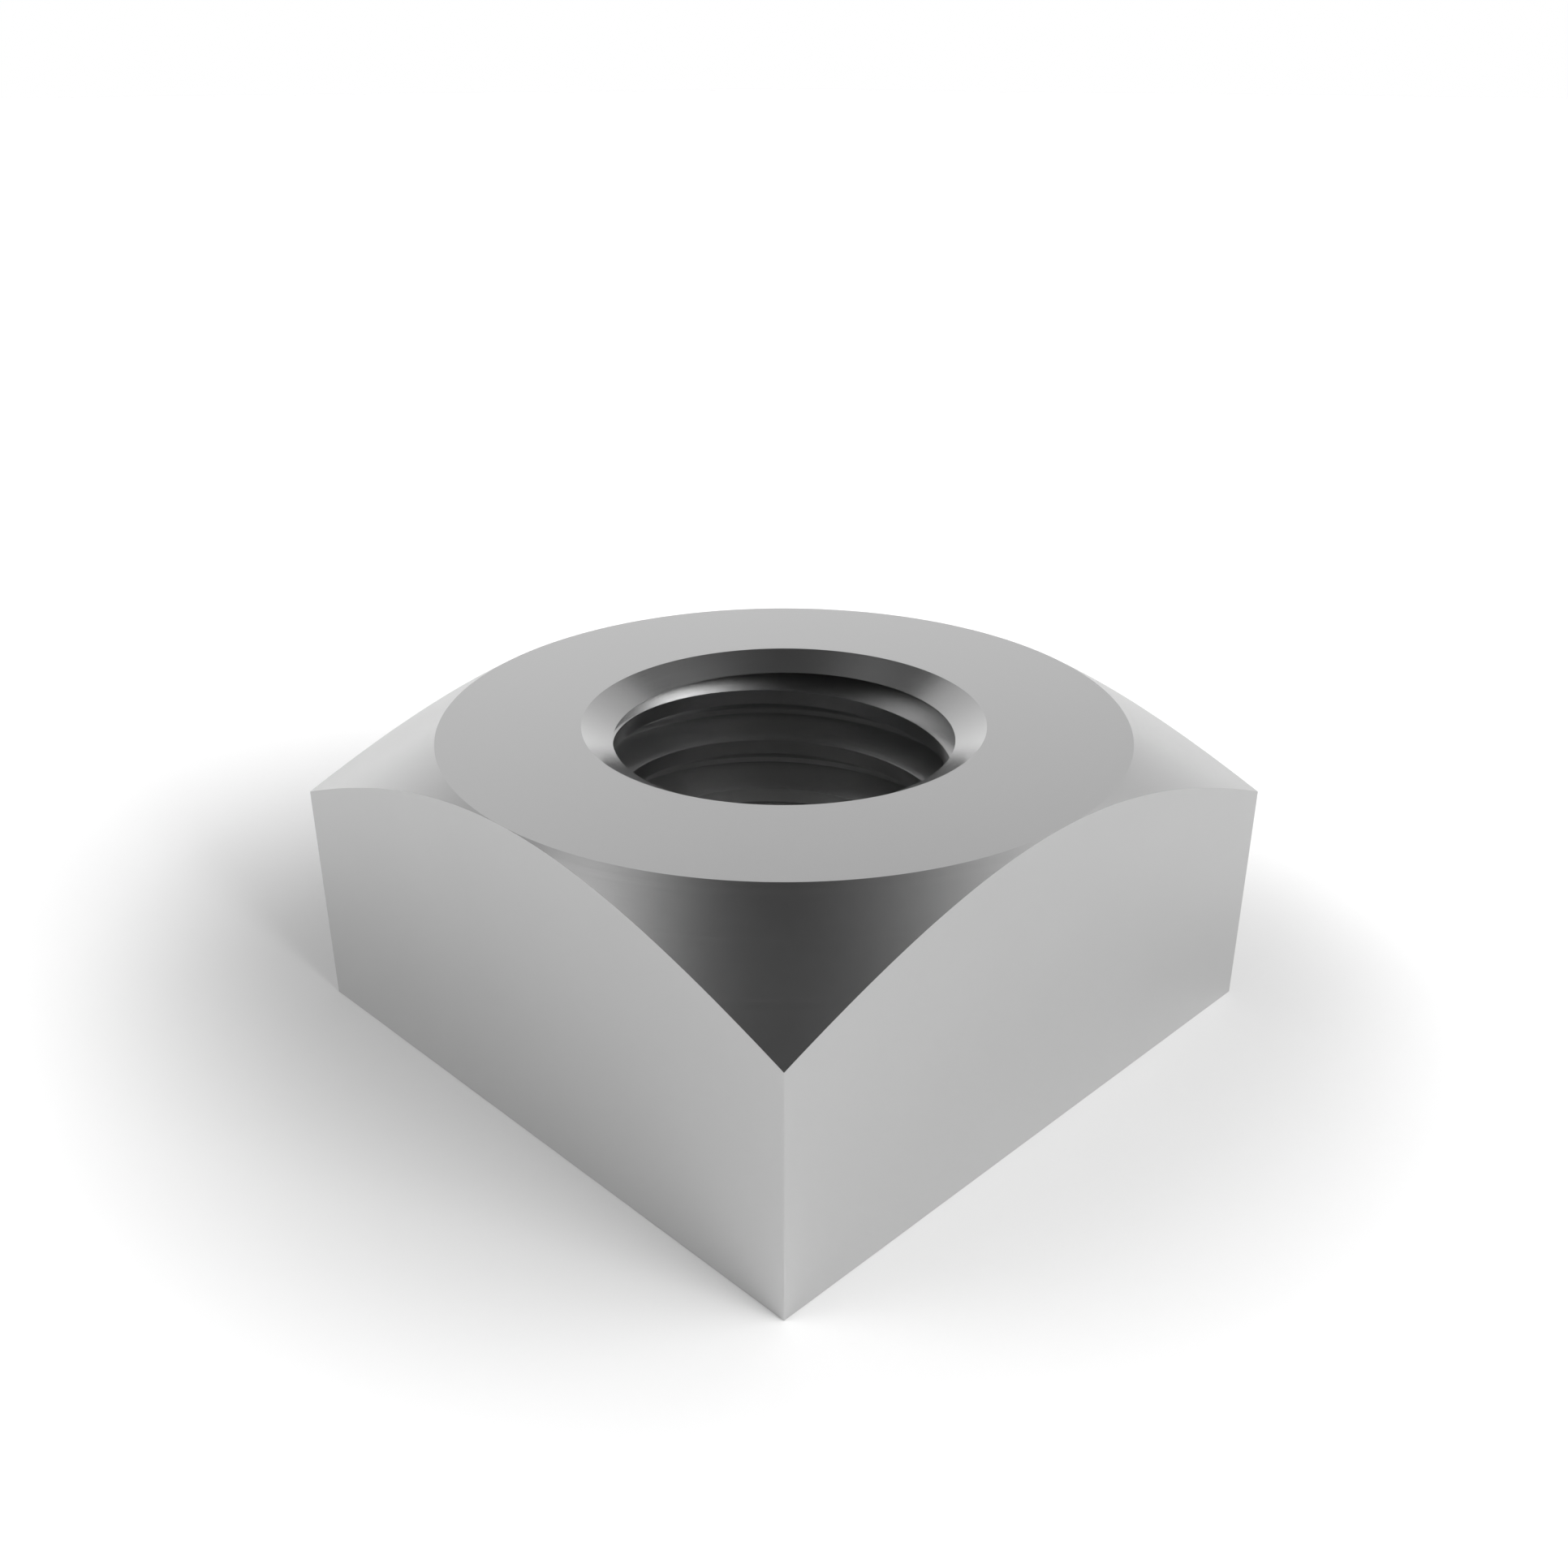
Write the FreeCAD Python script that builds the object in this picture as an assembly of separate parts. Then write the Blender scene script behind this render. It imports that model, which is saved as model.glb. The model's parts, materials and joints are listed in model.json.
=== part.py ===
import FreeCAD, Part
import math
import os

# Square nut, forged and tapped from one piece of steel. Sizes are in millimetres and degrees.
# The origin is the middle of the flat base, +Z runs up the bore, and the flats face X and Y.

# Block. The slope is that of the cone on the four top corners, measured from the top face.
across_flats = 17.0
height = 8.0
corner_slope = 30.0

# Right-handed thread. The crest is the flat land left between two turns of the groove.
thread_diameter = 10.0
thread_pitch = 1.5
flank_angle = 30.0
crest_share_of_pitch = 0.267
root_clearance = 0.075
groove_height = 1.025

# Countersinks at the two ends of the bore. The angle is the full angle of their cones.
countersink_angle = 120.0
top_countersink_depth = 0.433
base_countersink_depth = 0.433

# Sizes that follow from the ones above
half_diagonal = across_flats / math.sqrt(2)
top_circle_radius = across_flats / 2
bore_radius = (thread_diameter - thread_pitch) / 2
root_radius = thread_diameter / 2 + root_clearance
crest_width = crest_share_of_pitch * thread_pitch
flank_rise = math.tan(math.radians(flank_angle))
groove_floor = base_countersink_depth
groove_ceiling = height - top_countersink_depth

origin = FreeCAD.Vector(0, 0, 0)
bore_axis = FreeCAD.Vector(0, 0, 1)


def square_block():
    """The plain square block that the nut is forged to."""
    corner = FreeCAD.Vector(-across_flats / 2, -across_flats / 2, 0)
    return Part.makeBox(across_flats, across_flats, height, corner)


def turned_envelope():
    """Everything under the cone that takes off the four top corners."""
    rim_radius = 1.05 * half_diagonal
    rim_height = height - (rim_radius - top_circle_radius) * math.tan(math.radians(corner_slope))
    outline = Part.makePolygon([
        FreeCAD.Vector(0, 0, 0),
        FreeCAD.Vector(rim_radius, 0, 0),
        FreeCAD.Vector(rim_radius, 0, rim_height),
        FreeCAD.Vector(top_circle_radius, 0, height),
        FreeCAD.Vector(0, 0, height),
        FreeCAD.Vector(0, 0, 0),
    ])
    return Part.Face(outline).revolve(origin, bore_axis, 360)


def countersink(depth):
    """Cone that opens upwards from the bore's wall at height 0, twice as tall as its depth."""
    tall = 2 * depth
    mouth_radius = bore_radius + tall * math.tan(math.radians(countersink_angle / 2))
    return Part.makeCone(bore_radius, mouth_radius, tall)


def top_countersink():
    """Countersink in the top face."""
    cone = countersink(top_countersink_depth)
    cone.translate(FreeCAD.Vector(0, 0, groove_ceiling))
    return cone


def base_countersink():
    """Countersink in the base, turned over so that it opens downwards."""
    cone = countersink(base_countersink_depth)
    cone.rotate(origin, FreeCAD.Vector(1, 0, 0), 180)
    cone.translate(FreeCAD.Vector(0, 0, groove_floor))
    return cone


def groove_section(middle):
    """Section of the thread groove on the +X side, with its middle at the given height."""
    overlap = crest_width / (4 * flank_rise)
    inner_radius = bore_radius - overlap
    half_mouth = (thread_pitch - crest_width) / 2
    half_inner = half_mouth + overlap * flank_rise
    half_root = half_mouth - (root_radius - bore_radius) * flank_rise
    return Part.makePolygon([
        FreeCAD.Vector(inner_radius, 0, middle - half_inner),
        FreeCAD.Vector(root_radius, 0, middle - half_root),
        FreeCAD.Vector(root_radius, 0, middle + half_root),
        FreeCAD.Vector(inner_radius, 0, middle + half_inner),
        FreeCAD.Vector(inner_radius, 0, middle - half_inner),
    ])


def thread_groove():
    """The helical groove of the thread, which stops under the lips of the two countersinks."""
    turns_below = math.ceil((groove_height - groove_floor) / thread_pitch) + 1
    start = groove_height - turns_below * thread_pitch
    turns = math.ceil((groove_ceiling - start) / thread_pitch) + 1
    helix = Part.makeHelix(thread_pitch, turns * thread_pitch, bore_radius)
    helix.translate(FreeCAD.Vector(0, 0, start))
    sweep = Part.BRepOffsetAPI.MakePipeShell(Part.Wire(helix.Edges))
    sweep.setBiNormalMode(bore_axis)
    sweep.add(groove_section(start))
    sweep.build()
    sweep.makeSolid()
    tapped_length = groove_ceiling - groove_floor
    tapped_stretch = Part.makeCylinder(across_flats, tapped_length, FreeCAD.Vector(0, 0, groove_floor))
    return sweep.shape().common(tapped_stretch)


def quarter_lines():
    """Four upright lines on the bore's wall, from lip to lip."""
    lines = []
    for quarter in range(4):
        foot = FreeCAD.Vector(bore_radius, 0, groove_floor)
        head = FreeCAD.Vector(bore_radius, 0, groove_ceiling)
        line = Part.makeLine(foot, head)
        line.rotate(origin, bore_axis, 90 * quarter)
        lines.append(line)
    return lines


def nut_body():
    """The whole nut. The crest of its thread is divided into faces a quarter turn long."""
    blank = square_block().common(turned_envelope())
    drill = Part.makeCylinder(bore_radius, height)
    drilled = blank.cut([drill, top_countersink(), base_countersink()])
    tapped = drilled.cut(thread_groove())
    divided = tapped.Solids[0].generalFuse(quarter_lines())[0]
    return divided.Solids[0]


os.makedirs("parts", exist_ok=True)
nut_body().exportStep("parts/nut_body.step")
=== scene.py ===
"""A square nut of bare steel on a white floor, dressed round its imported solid. Lengths are in metres."""

import json
import logging
import math
from collections.abc import Callable
from dataclasses import dataclass
from enum import Enum
from typing import Any

import bmesh
import bpy
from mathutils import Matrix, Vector


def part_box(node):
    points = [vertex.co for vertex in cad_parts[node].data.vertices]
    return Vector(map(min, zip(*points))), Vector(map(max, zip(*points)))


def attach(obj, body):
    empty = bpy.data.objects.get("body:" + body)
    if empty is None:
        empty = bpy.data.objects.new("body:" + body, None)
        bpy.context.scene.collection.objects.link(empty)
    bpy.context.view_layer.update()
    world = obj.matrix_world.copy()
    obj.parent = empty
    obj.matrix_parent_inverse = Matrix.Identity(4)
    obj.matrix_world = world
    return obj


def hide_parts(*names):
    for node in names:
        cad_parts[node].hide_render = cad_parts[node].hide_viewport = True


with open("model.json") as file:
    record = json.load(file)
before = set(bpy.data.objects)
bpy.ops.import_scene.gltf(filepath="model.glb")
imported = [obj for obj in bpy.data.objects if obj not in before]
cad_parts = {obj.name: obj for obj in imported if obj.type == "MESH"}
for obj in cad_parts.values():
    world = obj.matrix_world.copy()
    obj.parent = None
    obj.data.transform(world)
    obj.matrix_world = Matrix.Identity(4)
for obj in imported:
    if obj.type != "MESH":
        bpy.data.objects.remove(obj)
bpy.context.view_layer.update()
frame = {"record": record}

log = logging.getLogger("square_nut")

NUT_NODE = "nut_body"
MM = 0.001

# Points nearer than this are the same point, and the frame's sizes are read to this step
WELD_DISTANCE = 1e-6

# The least part of its normal that a face has along a direction that it is said to face
FACING = 0.5

# Places of the two colours among a Mix node's inputs, and of the mixed colour among its outputs
COLOUR_A, COLOUR_B, MIXED_COLOUR = 6, 7, 2

# How many corners the section of the thread's groove has
SECTION_CORNERS = 4

# Where the camera stands round the nut: the turn from straight before the -Y flat towards +X
CAMERA_AZIMUTH = math.radians(45)


class NutEnd(Enum):
    """The two ends of the bore, each with the sign of its outward direction along Z."""

    TOP = 1
    BASE = -1


class MeshPart(Enum):
    """The parts of a mesh that can be picked: the operators' word for them, and their list's name."""

    FACE = "faces"
    EDGE = "edges"


class Keep(Enum):
    """What is kept of a solid where another one overlaps it, each with the modifier's word for it."""

    OUTSIDE = "DIFFERENCE"
    INSIDE = "INTERSECT"


class Ray(Enum):
    """The rays that a material can tell from others, each with its output of the Light Path node."""

    CAMERA = "Is Camera Ray"
    MIRRORED = "Is Glossy Ray"
    THROUGH_GLASS = "Is Transmission Ray"


def thread_mount() -> dict[str, Any]:
    """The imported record's entry for the threaded hole."""
    return next(mount for mount in frame["record"]["mounts"] if mount["name"] == "thread")


class Workpiece:
    """A mesh on the bench, shaped by operators that act on what is picked by place or normal."""

    def __init__(self, name: str) -> None:
        """Takes the object that a primitive operator has just added.

        Args:
            name: The name that the object and its mesh get.
        """
        self.obj = bpy.context.object
        self.obj.name = name
        self.obj.data.name = name
        bpy.ops.object.transform_apply(location=True, rotation=True, scale=True)

    def _activate(self) -> None:
        """Makes this the one object that operators act on."""
        bpy.ops.object.select_all(action="DESELECT")
        self.obj.select_set(True)
        bpy.context.view_layer.objects.active = self.obj

    def begin(self) -> None:
        """Opens the mesh for editing with nothing selected."""
        self._activate()
        bpy.ops.object.mode_set(mode="EDIT")
        bpy.ops.mesh.select_all(action="DESELECT")

    def end(self) -> None:
        """Closes the mesh again."""
        bpy.ops.object.mode_set(mode="OBJECT")

    def pick(self, kind: MeshPart, wanted: Callable[[Any], bool]) -> None:
        """Selects the faces or the edges that pass a test, and nothing else.

        Args:
            kind: Which of the two are tested.
            wanted: The test on one face or edge.
        """
        bpy.ops.mesh.select_mode(type=kind.name)
        bpy.ops.mesh.select_all(action="DESELECT")
        mesh = bmesh.from_edit_mesh(self.obj.data)
        for part in getattr(mesh, kind.value):
            if wanted(part):
                part.select_set(True)
        bmesh.update_edit_mesh(self.obj.data)

    def draw_out(self, rise: float, radius: float, new_radius: float) -> None:
        """Extrudes the selected round face along Z and scales it about the axis.

        Args:
            rise: How far the face moves up.
            radius: The face's radius before.
            new_radius: Its radius after.
        """
        bpy.ops.mesh.extrude_region_move(TRANSFORM_OT_translate={"value": (0, 0, rise)})
        share = new_radius / radius
        bpy.ops.transform.resize(value=(share, share, 1), center_override=(0, 0, 0))

    def cut_away(self, point: Vector, outward: Vector) -> None:
        """Cuts off what lies beyond a plane and closes the cut with a face.

        Args:
            point: A point of the plane.
            outward: The plane's normal, towards what goes.
        """
        bpy.ops.mesh.select_all(action="SELECT")
        bpy.ops.mesh.bisect(
            plane_co=point,
            plane_no=outward,
            use_fill=True,
            clear_outer=True,
            threshold=WELD_DISTANCE / 10,
        )

    def close_up(self) -> None:
        """Welds double points and turns every face outwards."""
        bpy.ops.mesh.select_all(action="SELECT")
        bpy.ops.mesh.remove_doubles(threshold=WELD_DISTANCE)
        bpy.ops.mesh.normals_make_consistent(inside=False)

    def apply_modifier(self, kind: str, settings: dict[str, Any]) -> None:
        """Adds a modifier and applies it.

        Args:
            kind: The modifier's type.
            settings: Its settings by name.
        """
        self._activate()
        modifier = self.obj.modifiers.new(kind.title(), kind)
        for name, value in settings.items():
            setattr(modifier, name, value)
        bpy.ops.object.modifier_apply(modifier=modifier.name)

    def shift(self, rise: float, turn: float) -> None:
        """Moves the piece up and turns it about the Z axis, in its mesh.

        Args:
            rise: How far up.
            turn: The angle, counter-clockwise from above.
        """
        self._activate()
        self.obj.location.z = rise
        self.obj.rotation_euler.z = turn
        bpy.ops.object.transform_apply(location=True, rotation=True, scale=True)

    def combine(self, keep: Keep, other: "Workpiece") -> None:
        """Keeps what lies outside or inside another solid, which is used up.

        Args:
            keep: Which of the two.
            other: The other solid.
        """
        self.apply_modifier("BOOLEAN", {"operation": keep.value, "solver": "EXACT", "object": other.obj})
        bpy.data.objects.remove(other.obj)


@dataclass(frozen=True)
class NutBlank:
    """The block: a turned ring with a cone on top, drilled, countersunk and milled to four flats.

    Attributes:
        across_flats: The width of the square.
        height: The nut's height.
        bore_radius: The radius of the bore, at the thread's crests.
        bore_length: The length of the bore between its countersinks.
        rim_to_corner: The ring's radius, as a share of half the square's diagonal.
        corner_slope: The angle of the cone with the top face.
        countersink_half_angle: The angle of a countersink's wall with the axis.
        segments: How many steps a full circle has.
    """

    across_flats: float
    height: float
    bore_radius: float
    bore_length: float
    rim_to_corner: float = 1.05
    corner_slope: float = math.radians(30)
    countersink_half_angle: float = math.radians(60)
    segments: int = 256

    @property
    def top_radius(self) -> float:
        """Radius of the flat top, whose edge just touches the flats."""
        return self.across_flats / 2

    @property
    def rim_radius(self) -> float:
        """Radius of the turned ring, a little beyond the corners of the square."""
        return self.rim_to_corner * self.across_flats / math.sqrt(2)

    @property
    def rim_height(self) -> float:
        """Height at which the cone meets the ring's outside."""
        return self.height - (self.rim_radius - self.top_radius) * math.tan(self.corner_slope)

    @property
    def countersink_depth(self) -> float:
        """Depth of each countersink, from its face to the bore's wall."""
        return (self.height - self.bore_length) / 2

    @property
    def mouth_radius(self) -> float:
        """Radius of each countersink at its face."""
        return self.bore_radius + self.countersink_depth * math.tan(self.countersink_half_angle)

    def build(self) -> Workpiece:
        """Makes the blank.

        Returns:
            The blank, closed and with its bore still plain.
        """
        bpy.ops.mesh.primitive_cylinder_add(
            vertices=self.segments,
            radius=self.rim_radius,
            depth=self.rim_height,
            location=(0, 0, self.rim_height / 2),
        )
        blank = Workpiece("nut")
        blank.begin()
        blank.pick(MeshPart.FACE, lambda face: face.normal.z > FACING)
        blank.draw_out(self.height - self.rim_height, self.rim_radius, self.top_radius)
        self._sink(blank, NutEnd.TOP, self.top_radius)
        blank.pick(MeshPart.FACE, lambda face: face.normal.z < -FACING)
        self._sink(blank, NutEnd.BASE, self.rim_radius)
        self._open_bore(blank)
        self._mill_flats(blank)
        blank.close_up()
        blank.end()
        return blank

    def _sink(self, blank: Workpiece, end: NutEnd, face_radius: float) -> None:
        """Sinks the cone of a countersink into the selected end face."""
        blank.draw_out(0, face_radius, self.mouth_radius)
        blank.draw_out(-end.value * self.countersink_depth, self.mouth_radius, self.bore_radius)

    def _open_bore(self, blank: Workpiece) -> None:
        """Opens the bore between the bottoms of the two countersinks.

        Args:
            blank: The blank, both of whose ends are already sunk.
        """
        reach = self.bore_radius + WELD_DISTANCE
        blank.pick(MeshPart.FACE, lambda face: max(v.co.xy.length for v in face.verts) < reach)
        bpy.ops.mesh.delete(type="ONLY_FACE")
        blank.pick(MeshPart.EDGE, lambda edge: edge.is_boundary)
        bpy.ops.mesh.bridge_edge_loops()

    def _mill_flats(self, blank: Workpiece) -> None:
        """Cuts the four flats."""
        for outward in (Vector((1, 0, 0)), Vector((0, 1, 0)), Vector((-1, 0, 0)), Vector((0, -1, 0))):
            blank.cut_away(outward * self.across_flats / 2, outward)


@dataclass(frozen=True)
class ThreadGroove:
    """The right-handed helical groove of the thread, as the solid that a tap takes away.

    Attributes:
        bore_radius: The radius of the bore, at the thread's crests.
        floor: The height at which the thread starts.
        ceiling: The height at which it ends.
        pitch: How far the groove climbs in a turn.
        root_clearance: How much deeper the groove goes than the thread's major radius.
        crest_share_of_pitch: The share of the pitch that the crest between two turns takes.
        flank_angle: The angle of each flank with the level.
        height_on_x: The height of the groove's middle where a turn of it crosses the X axis.
        segments: How many steps a turn has.
    """

    bore_radius: float
    floor: float
    ceiling: float
    pitch: float = 1.5 * MM
    root_clearance: float = 0.075 * MM
    crest_share_of_pitch: float = 0.267
    flank_angle: float = math.radians(30)
    height_on_x: float = 1.025 * MM
    segments: int = 256

    @property
    def root_radius(self) -> float:
        """Radius of the groove's bottom. The major radius lies half a pitch outside the bore."""
        return self.bore_radius + self.pitch / 2 + self.root_clearance

    @property
    def inner_radius(self) -> float:
        """Radius at which the section ends inside the bore."""
        return self.bore_radius - self.crest_share_of_pitch * self.pitch / 2

    @property
    def start(self) -> float:
        """Height at which the section starts, on the X axis and more than a turn below the thread."""
        turns_below = math.ceil((self.height_on_x - self.floor) / self.pitch) + 1
        return self.height_on_x - turns_below * self.pitch

    @property
    def turns(self) -> int:
        """How many turns take the section past the top of the thread."""
        return math.ceil((self.ceiling - self.start) / self.pitch) + 1

    def half_width(self, radius: float) -> float:
        """Half the groove's height at a radius."""
        half_mouth = (1 - self.crest_share_of_pitch) * self.pitch / 2
        return half_mouth - (radius - self.bore_radius) * math.tan(self.flank_angle)

    def build(self) -> Workpiece:
        """Winds the groove's section up the bore and trims it under the countersinks' lips.

        Returns:
            The closed groove.
        """
        groove = self._section()
        groove.apply_modifier("SCREW", {
            "axis": "Z",
            "angle": math.tau,
            "screw_offset": self.pitch,
            "iterations": self.turns,
            "steps": self.segments,
            "render_steps": self.segments,
        })
        groove.begin()
        bpy.ops.mesh.select_all(action="SELECT")
        bpy.ops.mesh.fill_holes(sides=SECTION_CORNERS)
        groove.close_up()
        groove.end()
        # Half a step round and up the same helix, so that no point lies on an upright edge of the bore
        groove.shift(self.pitch / (2 * self.segments), math.pi / self.segments)
        groove.combine(Keep.INSIDE, self._tapped_stretch())
        return groove

    def _section(self) -> Workpiece:
        """Draws the groove's section, from a square whose upright sides take the groove's height.

        Returns:
            The section's outline, at its starting place.
        """
        depth = self.root_radius - self.inner_radius
        middle = self.inner_radius + depth / 2
        bpy.ops.mesh.primitive_plane_add(
            size=depth,
            location=(middle, 0, self.start),
            rotation=(math.pi / 2, 0, 0),
        )
        section = Workpiece("groove")
        section.begin()
        for side, radius in ((-1, self.inner_radius), (1, self.root_radius)):
            section.pick(MeshPart.EDGE, lambda edge: all(side * (v.co.x - middle) > 0 for v in edge.verts))
            share = 2 * self.half_width(radius) / depth
            bpy.ops.transform.resize(value=(1, 1, share), center_override=(0, 0, self.start))
        section.pick(MeshPart.FACE, lambda face: True)
        bpy.ops.mesh.delete(type="ONLY_FACE")
        section.end()
        return section

    def _tapped_stretch(self) -> Workpiece:
        """Makes the slice that the groove stays in.

        Returns:
            A drum wider than the groove, as high as the tapped stretch of the bore.
        """
        bpy.ops.mesh.primitive_cylinder_add(
            vertices=self.segments,
            radius=2 * self.root_radius,
            depth=self.ceiling - self.floor,
            location=(0, 0, (self.ceiling + self.floor) / 2),
        )
        return Workpiece("tapped_stretch")


class Signal:
    """One output socket of a node, with the arithmetic that adds Math nodes."""

    def __init__(self, graph: "NodeGraph", socket: bpy.types.NodeSocket | None) -> None:
        """Wraps a socket of a graph, or none for a node that ends it."""
        self.graph = graph
        self.socket = socket

    def _math(self, operation: str, first: Any, second: Any) -> "Signal":
        """Adds one Math node."""
        return self.graph.add("ShaderNodeMath", {"operation": operation}, {0: first, 1: second})

    def __add__(self, other: Any) -> "Signal":
        """The sum."""
        return self._math("ADD", self, other)

    __radd__ = __add__

    def __mul__(self, other: Any) -> "Signal":
        """The product."""
        return self._math("MULTIPLY", self, other)

    __rmul__ = __mul__

    def __sub__(self, other: Any) -> "Signal":
        """The difference."""
        return self._math("SUBTRACT", self, other)

    def __rsub__(self, other: Any) -> "Signal":
        """The difference, with this signal taken away."""
        return self._math("SUBTRACT", other, self)

    def __pow__(self, other: Any) -> "Signal":
        """The power."""
        return self._math("POWER", self, other)

    def at_most(self, other: Any) -> "Signal":
        """The smaller of the two."""
        return self._math("MINIMUM", self, other)

    def at_least(self, other: Any) -> "Signal":
        """The larger of the two."""
        return self._math("MAXIMUM", self, other)

    def above(self, limit: float) -> "Signal":
        """1 where this signal is more than a limit, and 0 elsewhere."""
        return self._math("GREATER_THAN", self, limit)

    def exponential(self) -> "Signal":
        """The number e to the power of this signal."""
        return self._math("EXPONENT", self, 0)

    def along(self, direction: Vector) -> "Signal":
        """The part of this vector along a direction of length 1."""
        inputs = {0: self, 1: direction}
        return self.graph.add("ShaderNodeVectorMath", {"operation": "DOT_PRODUCT"}, inputs, "Value")


class NodeGraph:
    """A node tree that is filled through one method."""

    def __init__(self, tree: bpy.types.NodeTree) -> None:
        """Takes a tree and empties it."""
        self.tree = tree
        tree.nodes.clear()

    def add(
        self,
        kind: str,
        settings: dict[str, Any] | None = None,
        inputs: dict[str | int, Any] | None = None,
        output: str | int = 0,
    ) -> Signal:
        """Adds a node.

        Args:
            kind: The node's type.
            settings: Its settings, set first.
            inputs: Values or signals for its input sockets, by name or place.
            output: The output socket to hand back, by name or place.

        Returns:
            The node's output, as a signal.
        """
        node = self.tree.nodes.new(kind)
        for name, value in (settings or {}).items():
            setattr(node, name, value)
        for name, value in (inputs or {}).items():
            if isinstance(value, Signal):
                self.tree.links.new(value.socket, node.inputs[name])
            else:
                node.inputs[name].default_value = value
        return Signal(self, node.outputs[output] if node.outputs else None)

    def place(self) -> Signal:
        """Where the surface is, in the piece's own coordinates."""
        return self.add("ShaderNodeTexCoord", None, None, "Object")

    def distances(self) -> tuple[Signal, Signal, Signal]:
        """Measures how far the surface lies from the piece's axis.

        Returns:
            The distance along X, the distance along Y and the radius, in metres.
        """
        across, along = (self.place().along(Vector(axis)) for axis in ((1, 0, 0), (0, 1, 0)))
        return across, along, (across * across + along * along) ** 0.5

    def noise(self, place: Signal, size: float, detail: float) -> Signal:
        """Smooth random variation between 0 and 1.

        Args:
            place: Where the surface is.
            size: The size of the patches, in metres.
            detail: How many times finer variation is added.

        Returns:
            The variation, about 0.5 on average.
        """
        return self.add("ShaderNodeTexNoise", None, {"Vector": place, "Scale": 1 / size, "Detail": detail})

    def carried_by(self, ray: Ray) -> Signal:
        """1 for rays of one kind, and 0 for others."""
        return self.add("ShaderNodeLightPath", None, None, ray.value)

    def seen(self) -> Signal:
        """1 for what the camera sees, straight or in metal or glass, and 0 for what only gives light."""
        mirrored, through_glass = self.carried_by(Ray.MIRRORED), self.carried_by(Ray.THROUGH_GLASS)
        return (self.carried_by(Ray.CAMERA) + mirrored + through_glass).at_most(1)


@dataclass(frozen=True)
class SteelFinish:
    """Smooth satin steel, left bare, with the faint marks of the cutting tool and of the drawn bar.

    Attributes:
        across_flats: The width of the square, by which the flats are told from what is turned.
        darkest: The darkest tone.
        lightest: The lightest tone.
        roughness: The roughness on average.
        roughness_swing: How much it goes up and down with the marks and the clouding.
        cloud_size: The size of the clouding's patches.
        grain_size: The size of the grain.
        grain_share: The grain's share in the tone and in the relief.
        broad_detail: How many times finer variation is added to the clouding and the marks.
        grain_detail: How many times it is added to the grain.
        mark_spacing: How far apart the marks lie.
        mark_length: How long they are on the flats.
        mark_depth: How deep they are.
    """

    across_flats: float
    darkest: float = 0.54
    lightest: float = 0.58
    roughness: float = 0.22
    roughness_swing: float = 0.05
    cloud_size: float = 3.0 * MM
    grain_size: float = 0.25 * MM
    grain_share: float = 0.4
    broad_detail: float = 2
    grain_detail: float = 4
    mark_spacing: float = 0.12 * MM
    mark_length: float = 4.0 * MM
    mark_depth: float = 0.0005 * MM

    def material(self) -> bpy.types.Material:
        """Makes the steel's material.

        Returns:
            The material, whose patterns follow the nut's own coordinates.
        """
        material = bpy.data.materials.new("bare_steel")
        material.use_nodes = True
        graph = NodeGraph(material.node_tree)
        clouds = graph.noise(graph.place(), self.cloud_size, self.broad_detail)
        grain = graph.noise(graph.place(), self.grain_size, self.grain_detail)
        relief = self._marks(graph) * (1 - self.grain_share) + grain * self.grain_share
        tone = graph.add("ShaderNodeMix", {"data_type": "RGBA"}, {
            0: clouds * (1 - self.grain_share) + grain * self.grain_share,
            COLOUR_A: (self.darkest, self.darkest, self.darkest, 1),
            COLOUR_B: (self.lightest, self.lightest, self.lightest, 1),
        }, MIXED_COLOUR)
        steel = graph.add("ShaderNodeBsdfPrincipled", None, {
            "Base Color": tone,
            "Metallic": 1,
            "Roughness": self.roughness + self.roughness_swing * (relief + clouds - 1),
            "Normal": graph.add("ShaderNodeBump", None, {"Distance": self.mark_depth, "Height": relief}),
        })
        graph.add("ShaderNodeOutputMaterial", None, {"Surface": steel})
        return material

    def _marks(self, graph: NodeGraph) -> Signal:
        """Draws the marks: rings where the steel is turned, and upright lines on the four flats.

        Args:
            graph: The steel's nodes.

        Returns:
            The marks' height, about 0.5 on average.
        """
        across, along, radius = graph.distances()
        rings = graph.add("ShaderNodeTexNoise", {"noise_dimensions": "1D"}, {
            "W": radius,
            "Scale": 1 / self.mark_spacing,
            "Detail": self.broad_detail,
        })
        squeezed = graph.add("ShaderNodeVectorMath", {"operation": "MULTIPLY"}, {
            0: graph.place(),
            1: (1, 1, self.mark_spacing / self.mark_length),
        })
        lines = graph.noise(squeezed, self.mark_spacing, self.broad_detail)
        flats = (across * across).at_least(along * along).above((self.across_flats / 2 - WELD_DISTANCE) ** 2)
        return rings + (lines - rings) * flats


@dataclass(frozen=True)
class SquareNut:
    """The nut.

    Attributes:
        blank: The block that it is tapped in.
        groove: What the tap takes away.
        finish: The steel's finish.
        smooth_below: The angle between two faces below which the edge between them is shaded smooth.
    """

    blank: NutBlank
    groove: ThreadGroove
    finish: SteelFinish
    smooth_below: float = math.radians(20)

    def build(self) -> bpy.types.Object:
        """Taps the blank, dresses it and puts it in the frame.

        Returns:
            The nut's object.
        """
        nut = self.blank.build()
        tap = self.groove.build()
        nut.combine(Keep.OUTSIDE, tap)
        nut.begin()
        nut.close_up()
        nut.end()
        bpy.ops.object.shade_smooth_by_angle(angle=self.smooth_below)
        nut.obj.data.materials.clear()
        nut.obj.data.materials.append(self.finish.material())
        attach(nut.obj, "root")
        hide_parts(NUT_NODE)
        return nut.obj


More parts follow.
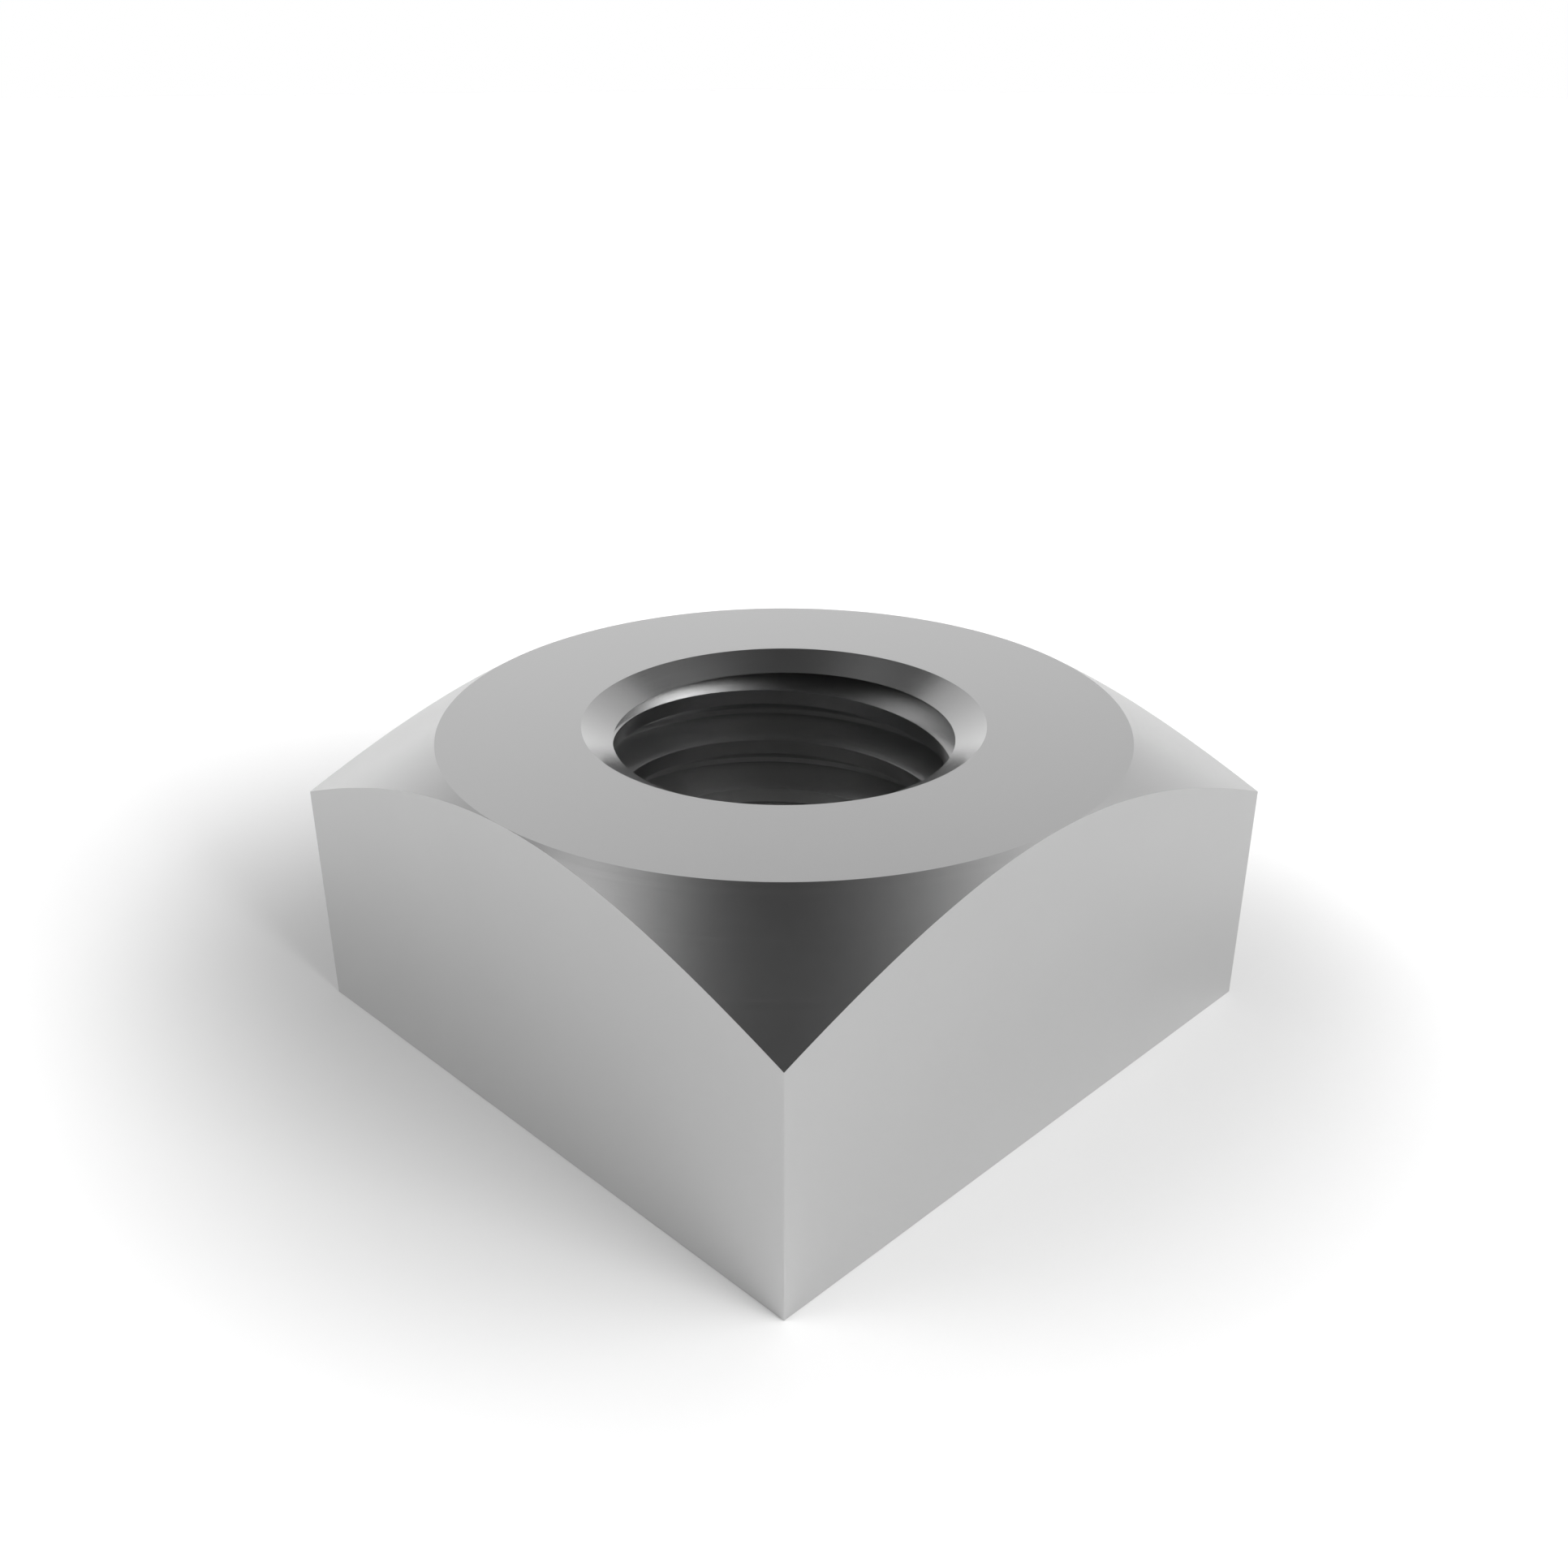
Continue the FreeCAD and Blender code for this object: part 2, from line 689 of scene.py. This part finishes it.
def level(azimuth: float) -> Vector:
    """Finds a level direction.

    Args:
        azimuth: The turn from straight beyond the nut, as the camera sees it, to the right.

    Returns:
        The direction, of length 1.
    """
    return Vector((math.sin(azimuth - CAMERA_AZIMUTH), math.cos(azimuth - CAMERA_AZIMUTH), 0))


@dataclass(frozen=True)
class Softbox:
    """A large soft lamp far from the nut.

    Attributes:
        azimuth: The turn from straight beyond the nut, as the camera sees it, to the right.
        elevation: The angle above the floor.
        strength: How bright the lamp is.
        spread: The angle from the lamp's middle to its edge.
    """

    azimuth: float
    elevation: float
    strength: float
    spread: float

    @property
    def direction(self) -> Vector:
        """Direction from the nut to the lamp, of length 1."""
        return level(self.azimuth) * math.cos(self.elevation) + Vector((0, 0, math.sin(self.elevation)))


@dataclass(frozen=True)
class FloorFinish:
    """Matt white paint, with painted light: as the camera sees it, its colour is painted lighter away from
    the nut, so that the nut's shadow fades to white all round.

    Attributes:
        grey: How light it is where it lights other things.
        in_metal: How light it is where the camera sees it mirrored in the steel.
        painted_glow_in_metal: A painted glow that it gives off there, which lightens the nut's shadow as the
            steel mirrors it.
        in_camera: How light it is where the camera sees it straight, near the nut.
        painted_light_start: How far from the nut's axis the painted lightening that fades the shadow starts.
        painted_light_end: How far from the axis the painted lightening ends.
        painted_light_gain: How many times lighter the floor is painted beyond it, where the nut's shadow is
            painted out.
    """

    grey: float = 0.9
    in_metal: float = 0.635
    painted_glow_in_metal: float = 0.048
    in_camera: float = 0.65
    painted_light_start: float = 10.6 * MM
    painted_light_end: float = 21.4 * MM
    painted_light_gain: float = 1.35

    def material(self) -> bpy.types.Material:
        """Makes the paint's material.

        Returns:
            The material, whose painted lightening is centred on the floor's own middle.
        """
        material = bpy.data.materials.new("floor")
        material.use_nodes = True
        graph = NodeGraph(material.node_tree)
        camera = graph.carried_by(Ray.CAMERA)
        _, _, radius = graph.distances()
        # Painted light: seen straight by the camera, the floor's colour gets lighter away from the nut's
        # axis, which fades the nut's shadow to white
        painted_lightening = graph.add("ShaderNodeMapRange", {"interpolation_type": "SMOOTHSTEP"}, {
            "Value": radius,
            "From Min": self.painted_light_start,
            "From Max": self.painted_light_end,
            "To Min": 1,
            "To Max": self.painted_light_gain,
        })
        white_with_painted_light = self.in_metal + (self.in_camera * painted_lightening - self.in_metal) * camera
        paint = graph.add("ShaderNodeBsdfPrincipled", None, {
            "Base Color": self.grey + (white_with_painted_light - self.grey) * graph.seen(),
            "Roughness": 1,
            "Specular IOR Level": 0,
            # Painted glow: the floor gives off light only where the steel mirrors it, which lightens the
            # mirrored shadow
            "Emission Color": self.painted_glow_in_metal * (graph.seen() - camera),
            "Emission Strength": 1,
        })
        graph.add("ShaderNodeOutputMaterial", None, {"Surface": paint})
        return material


@dataclass(frozen=True)
class Floor:
    """The floor, with two lamps that light it and not the steel.

    Attributes:
        size: The length of its sides.
        drop: How far it lies under the nut's base, so that the two faces don't coincide.
        finish: Its paint.
        key: The stronger lamp, on the right.
        fill: The softer lamp, on the left.
    """

    size: float = 3.0
    drop: float = 0.01 * MM
    finish: FloorFinish = FloorFinish()
    key: Softbox = Softbox(math.radians(127.5), math.radians(18.0), 3.6, 0.30)
    fill: Softbox = Softbox(math.radians(-110.0), math.radians(15.0), 1.7, 0.64)

    def build(self) -> None:
        """Lays the floor and hangs its lamps, which lay the nut's shadow on it."""
        bpy.ops.mesh.primitive_plane_add(size=self.size, location=(0, 0, -self.drop))
        floor = bpy.context.object
        floor.name = "floor"
        floor.data.materials.append(self.finish.material())
        self._hang("floor_key", self.key)
        self._hang("floor_fill", self.fill)

    def _hang(self, name: str, softbox: Softbox) -> None:
        """Hangs one lamp, which the steel doesn't mirror.

        Args:
            name: The lamp's name.
            softbox: Its place, strength and spread.
        """
        turn = softbox.direction.to_track_quat("Z", "Y").to_euler()
        bpy.ops.object.light_add(type="SUN", location=softbox.direction, rotation=turn)
        lamp = bpy.context.object
        lamp.name = name
        lamp.data.energy = softbox.strength
        lamp.data.angle = 2 * softbox.spread
        lamp.visible_glossy = False


@dataclass(frozen=True)
class Surround:
    """The light that the steel mirrors: a backdrop and two softboxes. The camera itself sees plain white.

    Attributes:
        white_with_painted_light: How bright the backdrop is beyond the nut, level with it.
        fall: How much it darkens from level to straight above.
        fall_round: How much it darkens from beyond the nut to the sides.
        fall_right: How much darker still it is on the right, and how much less dark on the left.
        reach: How far past the sides it goes on darkening, where 1 is straight behind the camera.
        edge: The height at which it gives way to the ceiling, as the sine of its elevation.
        blend: How much height that edge takes.
        ceiling_grey: How bright the ceiling is.
        key: The softbox on the right.
        fill: The softbox on the left.
    """

    white_with_painted_light: float = 1.122
    fall: float = 0.744
    fall_round: float = 0.508
    fall_right: float = 0.12
    reach: float = 0.6
    edge: float = 0.702
    blend: float = 0.1
    ceiling_grey: float = 0.042
    key: Softbox = Softbox(math.radians(101.1), math.radians(22.3), 6.7, 0.317)
    fill: Softbox = Softbox(math.radians(-100.0), math.radians(46.5), 3.5, 0.205)

    def build(self) -> None:
        """Puts the surround in the scene's world."""
        world = bpy.data.worlds.new("studio")
        world.use_nodes = True
        graph = NodeGraph(world.node_tree)
        direction = graph.add("ShaderNodeTexCoord", None, None, "Generated")
        light = self._backdrop(graph, direction)
        for lamp in (self.key, self.fill):
            nearness = (direction.along(lamp.direction) - 1) * (1 / lamp.spread ** 2)
            light = light + lamp.strength * nearness.exponential()
        strength = light + (1 - light) * graph.carried_by(Ray.CAMERA)
        surround = graph.add("ShaderNodeBackground", None, {"Color": (1, 1, 1, 1), "Strength": strength})
        graph.add("ShaderNodeOutputWorld", None, {"Surface": surround})
        bpy.context.scene.world = world

    def _backdrop(self, graph: NodeGraph, direction: Signal) -> Signal:
        """Paints the backdrop, darker upwards, to the right and towards the camera, and the ceiling.

        Args:
            graph: The world's nodes.
            direction: The direction that is looked in.

        Returns:
            How bright it is there.
        """
        height = direction.along(Vector((0, 0, 1)))
        beyond = direction.along(level(0)).at_least(-self.reach)
        right = direction.along(level(math.pi / 2))
        shade = graph.add("ShaderNodeMapRange", {"interpolation_type": "SMOOTHSTEP"}, {
            "Value": height,
            "From Min": self.edge - self.blend / 2,
            "From Max": self.edge + self.blend / 2,
            "To Min": 1,
            "To Max": 0,
        })
        backdrop = self.white_with_painted_light - self.fall * height
        backdrop = backdrop - self.fall_round * (1 - beyond) - self.fall_right * right
        return self.ceiling_grey + (backdrop - self.ceiling_grey).at_least(0) * shade


@dataclass(frozen=True)
class Camera:
    """The camera, at the photograph's viewing angle.

    Attributes:
        distance: How far it stands from the nut's axis.
        height: How far it is above the nut's base.
        dip: How far it looks down.
        focal_length_mm: The focal length of its lens, in millimetres.
        near: The nearest that it sees.
        far: The farthest that it sees.
    """

    distance: float = 35.088 * MM
    height: float = 22.537 * MM
    dip: float = math.radians(24.996)
    focal_length_mm: float = 35.1225
    near: float = 1 * MM
    far: float = 10.0

    def build(self) -> None:
        """Sets the camera up and makes it the one that is used."""
        bpy.ops.object.camera_add(
            location=(
                self.distance * math.sin(CAMERA_AZIMUTH),
                -self.distance * math.cos(CAMERA_AZIMUTH),
                self.height,
            ),
            rotation=(math.pi / 2 - self.dip, 0, CAMERA_AZIMUTH),
        )
        camera = bpy.context.object
        camera.data.lens = self.focal_length_mm
        camera.data.clip_start = self.near
        camera.data.clip_end = self.far
        bpy.context.scene.camera = camera
        bpy.context.scene.view_settings.view_transform = "Standard"


def main() -> None:
    """Builds the nut and its studio."""
    low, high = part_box(NUT_NODE)
    across_flats, height = (round((high - low)[axis] / WELD_DISTANCE) * WELD_DISTANCE for axis in (0, 2))
    mount = thread_mount()
    bore_radius = mount["dims"]["r_mm"] * MM
    bore_length = mount["dims"]["length_mm"] * MM
    bore_middle = mount["pos_m"][2]
    blank = NutBlank(
        across_flats=across_flats,
        height=height,
        bore_radius=bore_radius,
        bore_length=bore_length,
    )
    groove = ThreadGroove(
        bore_radius=bore_radius,
        floor=bore_middle - bore_length / 2,
        ceiling=bore_middle + bore_length / 2,
    )
    nut = SquareNut(blank, groove, SteelFinish(across_flats)).build()
    log.info("%s: %d faces", nut.name, len(nut.data.polygons))
    for equipment in (Floor(), Surround(), Camera()):
        equipment.build()
        log.info("%s: in place", type(equipment).__name__.lower())


if __name__ == "__main__":
    logging.basicConfig(level=logging.INFO)
    main()
